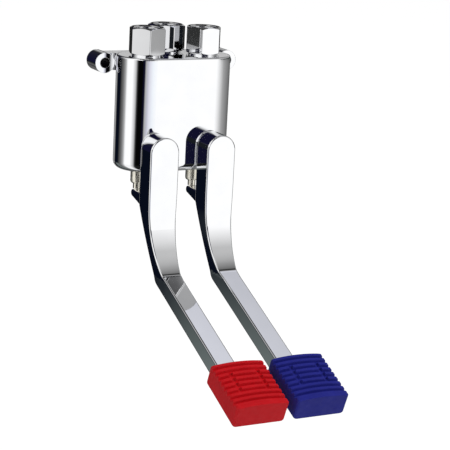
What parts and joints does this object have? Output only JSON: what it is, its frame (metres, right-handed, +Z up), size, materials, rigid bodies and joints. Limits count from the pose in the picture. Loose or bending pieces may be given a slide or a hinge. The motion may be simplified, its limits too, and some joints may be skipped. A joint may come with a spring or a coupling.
{
  "type": "foot pedal tap valve",
  "caption": "Wall-mounted foot pedal tap valve: chromed body with hex pipe connectors on top and hinged levers with ribbed rubber pads that lift sprung valve stems.",
  "frame": {"origin": "on the wall, midway between the two wall screw holes", "axes": "+X to the right seen from the front, +Y into the wall, +Z up"},
  "size_m": [0.1174, 0.2449, 0.2404],
  "materials": {
    "chrome": "polished chrome plating",
    "brass": "machined, slightly dulled",
    "steel": "ground",
    "red_rubber": "satin moulded",
    "blue_rubber": "satin moulded",
    "black_rubber": "matt",
    "fibre": "pressed fibre",
    "nylon": "matt"
  },
  "bodies": {
    "valve": {"valve_body": "chrome", "inlet_connector_hot": "chrome", "inlet_connector_cold": "chrome", "outlet_connector": "chrome", "valve_seat_hot": "brass", "valve_seat_cold": "brass", "gland_hot": "brass", "gland_cold": "brass", "seal_retainer_hot": "brass", "seal_retainer_cold": "brass", "inlet_strainer_hot": "steel", "inlet_strainer_cold": "steel", "return_spring_hot": "steel", "return_spring_cold": "steel", "pivot_pin": "steel", "pivot_grub_screw": "steel", "stem_seal_hot": "black_rubber", "stem_seal_cold": "black_rubber", "connector_washers": "fibre", "pivot_spacers": "nylon"},
    "hot_pedal": {"pedal_lever_hot": "chrome", "pedal_pad_hot": "red_rubber", "pivot_bush_hot": "brass"},
    "cold_pedal": {"pedal_lever_cold": "chrome", "pedal_pad_cold": "blue_rubber", "pivot_bush_cold": "brass"},
    "hot_stem": {"valve_stem_hot": "brass", "valve_washer_hot": "black_rubber"},
    "cold_stem": {"valve_stem_cold": "brass", "valve_washer_cold": "black_rubber"}
  },
  "joints": [
    {"name": "hot_pedal_press", "type": "hinge", "parent": "valve", "child": "hot_pedal", "pos_m": [-0.0233, -0.044, -0.07], "axis": [1, 0, 0], "range_deg": [0, 9], "stiffness_Nm_per_rad": 8, "springref_deg": -14.32},
    {"name": "hot_stem_lift", "type": "slide", "parent": "valve", "child": "hot_stem", "axis": [0, 0, 1], "range_m": [0, 0.0036], "deforming": ["return_spring_hot"]},
    {"name": "cold_pedal_press", "type": "hinge", "parent": "valve", "child": "cold_pedal", "pos_m": [0.0233, -0.044, -0.07], "axis": [1, 0, 0], "range_deg": [0, 9], "stiffness_Nm_per_rad": 8, "springref_deg": -14.32},
    {"name": "cold_stem_lift", "type": "slide", "parent": "valve", "child": "cold_stem", "axis": [0, 0, 1], "range_m": [0, 0.0036], "deforming": ["return_spring_cold"]}
  ],
  "couplings": [
    {"joint": "hot_stem_lift", "follows": "hot_pedal_press", "m_per_rad": 0.0218},
    {"joint": "cold_stem_lift", "follows": "cold_pedal_press", "m_per_rad": 0.0218}
  ]
}
